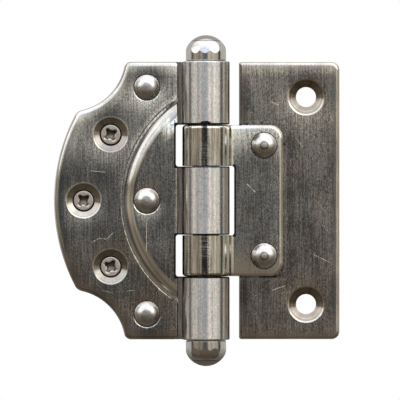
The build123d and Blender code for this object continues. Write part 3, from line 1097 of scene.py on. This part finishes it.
# A plain pale disc under the hinge, which takes its shadow and isn't seen in the metal
def buildFloor():
    form = bmesh.new()
    size = floor["radius"] / perMetre
    bmesh.ops.create_circle(form, cap_ends=True, segments=floor["corners"], radius=size)
    mesh = bpy.data.meshes.new("floor")
    form.to_mesh(mesh)
    form.free()
    ground = bpy.data.objects.new("floor", mesh)
    ground.location = (0, 0, -floor["below"] / perMetre)
    scene.collection.objects.link(ground)
    ground.visible_glossy = False
    material = bpy.data.materials.new("floor")
    material.use_nodes = True
    tree = Tree(material.node_tree)
    cloud = tree.noise(tree.add("ShaderNodeTexCoord", None, None, "Object"))
    colour = tree.blend(cloud, [floor["darkest"] * c for c in floor["colour"]], floor["colour"])
    inputs = {"Base Color": colour, "Roughness": floor["roughness"]}
    shader = tree.add("ShaderNodeBsdfPrincipled", None, inputs)
    tree.add("ShaderNodeOutputMaterial", None, {"Surface": shader})
    mesh.materials.append(material)


buildFloor()
print("floor made")


# The studio: a bright ceiling with a window, a room with upright bars in front, and a pale backdrop
# behind the hinge. Directions are from the hinge, with x to the right, y to the back and z up.
studio = {
    "colours": {
        "ceiling": (1.45, 1.44, 1.46),
        "ceilingFront": (1.0, 1.15, 1.38),
        "overhead": (1.6, 1.58, 1.65),
        "glowWarm": (1.3, 1.24, 1.12),
        "window": (2.1, 2.05, 1.97),
        "left": (0.31, 0.27, 0.215),
        "right": (0.53, 0.475, 0.395),
        "dark": (0.052, 0.057, 0.068),
        "darkLow": (0.13, 0.115, 0.097),
        "under": (0.155, 0.125, 0.098),
        "below": (0.1, 0.08, 0.058),
        "backdrop": (0.60, 0.585, 0.55),
        "backdropBelow": (0.16, 0.14, 0.12),
        "gap": (0.15, 0.13, 0.10),
        "gapAbove": (0.6, 0.6, 0.6),
    },
    # limits of steps: a turn is in degrees to the right of the camera, the others are shares of a direction
    "places": {
        "sides": (-0.2, 0.1),
        "darkTurn": [(-21.0, -15.0), (16.0, 8.0)],
        "darkLow": (-0.02, -0.12),
        "under": (0.0, -0.25),
        "below": (-0.4, -0.75),
        "frontMiddle": -8.0,
        "frontTurn": (20.0, 8.0),
        "frontUp": (0.7, 0.45),
        "windowTurn": [(5.0, 20.0), (82.0, 68.0)],
        "windowUp": (0.85, 0.6),
        "warm": (0.12, 0.35),
        "overhead": (0.82, 0.92),
        "softGlow": (0.0, 0.32),
        "crispGlow": (0.1, 0.2),
        "crispTurn": (30.0, 55.0),
        "barsEnd": (0.5, 0.8),
        "furtherBack": (0.35, 0.8, 0.42),  # overhead, the front reaches further back
        "gap": (-0.12, -0.06),
        "gapUp": (0.1, 0.5),
        "backdrop": (0.02, 0.10),
        "backdropDown": (0.1, -0.7),
    },
    "bars": [  # turn, width, how much it dims or lifts
        (-88.0, 9.5, -1.0),
        (-60.0, 13.0, 0.2),
        (-39.0, 7.0, -0.3),
        (16.0, 7.0, 0.25),
        (31.0, 3.5, -0.25),
        (45.0, 6.0, 0.2),
        (56.0, 3.5, -0.2),
        (83.0, 8.5, -1.0),
    ],
}


def buildStudio(world):
    world.use_nodes = True
    colours, places = studio["colours"], studio["places"]
    tree = Tree(world.node_tree)
    x, y, z = tree.split(tree.add("ShaderNodeTexCoord", None, None, "Generated"))
    turn = tree.add("ShaderNodeMath", {"operation": "ARCTAN2"}, {0: x, 1: -y}) * math.degrees(1.0)

    room = tree.blend(x.step(*places["sides"]), colours["left"], colours["right"])
    dark = tree.blend(z.step(*places["darkLow"]), colours["dark"], colours["darkLow"])
    room = tree.blend(turn.band(*places["darkTurn"]), room, dark)
    under = tree.blend(z.step(*places["below"]), colours["under"], colours["below"])
    room = tree.blend(z.step(*places["under"]), room, under)

    ahead = abs(turn - places["frontMiddle"]).step(*places["frontTurn"]) * z.step(*places["frontUp"])
    ceiling = tree.blend(ahead, colours["ceiling"], colours["ceilingFront"])
    window = turn.band(*places["windowTurn"]) * z.step(*places["windowUp"])
    ceiling = tree.blend(window, ceiling, colours["window"])
    ceiling = tree.blend(z.step(*places["warm"]), colours["glowWarm"], ceiling)
    ceiling = tree.blend(z.step(*places["overhead"]), ceiling, colours["overhead"])
    soft, crisp = z.step(*places["softGlow"]), z.step(*places["crispGlow"])
    glow = soft + (crisp - soft) * abs(turn).step(*places["crispTurn"])
    front = tree.blend(glow, room, ceiling)

    bars = 1.0
    for place, width, lift in studio["bars"]:
        away = (turn - place) / width
        bars = (-(away ** 4.0)).combine("EXPONENT") * lift + bars
    bars = bars + (1 - bars) * z.step(*places["barsEnd"])
    front = tree.blend(1.0, front, tree.vector(bars, bars, bars), "MULTIPLY")

    roll = z / (x * x + z * z + 0.0001).root()
    edge = y - roll.step(*places["furtherBack"])
    gap = tree.blend(roll.step(*places["gapUp"]), colours["gap"], colours["gapAbove"])
    around = tree.blend(edge.step(*places["gap"]), front, gap)
    behind = tree.blend(roll.step(*places["backdropDown"]), colours["backdrop"], colours["backdropBelow"])
    around = tree.blend(edge.step(*places["backdrop"]), around, behind)
    rays = tree.add("ShaderNodeLightPath", None, None, "Is Camera Ray")
    sky = tree.blend(rays, around, (1.0, 1.0, 1.0))
    shade = tree.add("ShaderNodeBackground", None, {"Color": sky, "Strength": 1.0})
    tree.add("ShaderNodeOutputWorld", None, {"Surface": shade})


scene.view_settings.view_transform = "Standard"
scene.world = scene.world or bpy.data.worlds.new("studio")
buildStudio(scene.world)
print("studio built")

camera = {
    "sensor": 36.0,
    "lens": 413.7,
    "distance": 1044.6,  # from the barrel's front
    "left": 1.364,  # how far the picture's middle is to the left of the pin
    "up": 0.14,
    "near": 50.0,
    "far": 20000.0,
}


def buildCamera():
    lens = bpy.data.cameras.new("camera")
    lens.sensor_width = camera["sensor"]
    lens.lens = camera["lens"]
    lens.clip_start = camera["near"] / perMetre
    lens.clip_end = camera["far"] / perMetre
    stand = bpy.data.objects.new("camera", lens)
    scene.collection.objects.link(stand)
    place = Vector((pin.x - camera["left"], pin.y - barrelRadius - camera["distance"], camera["up"]))
    stand.location = place / perMetre
    stand.rotation_euler = (math.radians(90), 0, 0)
    scene.camera = stand


buildCamera()
print("camera set")
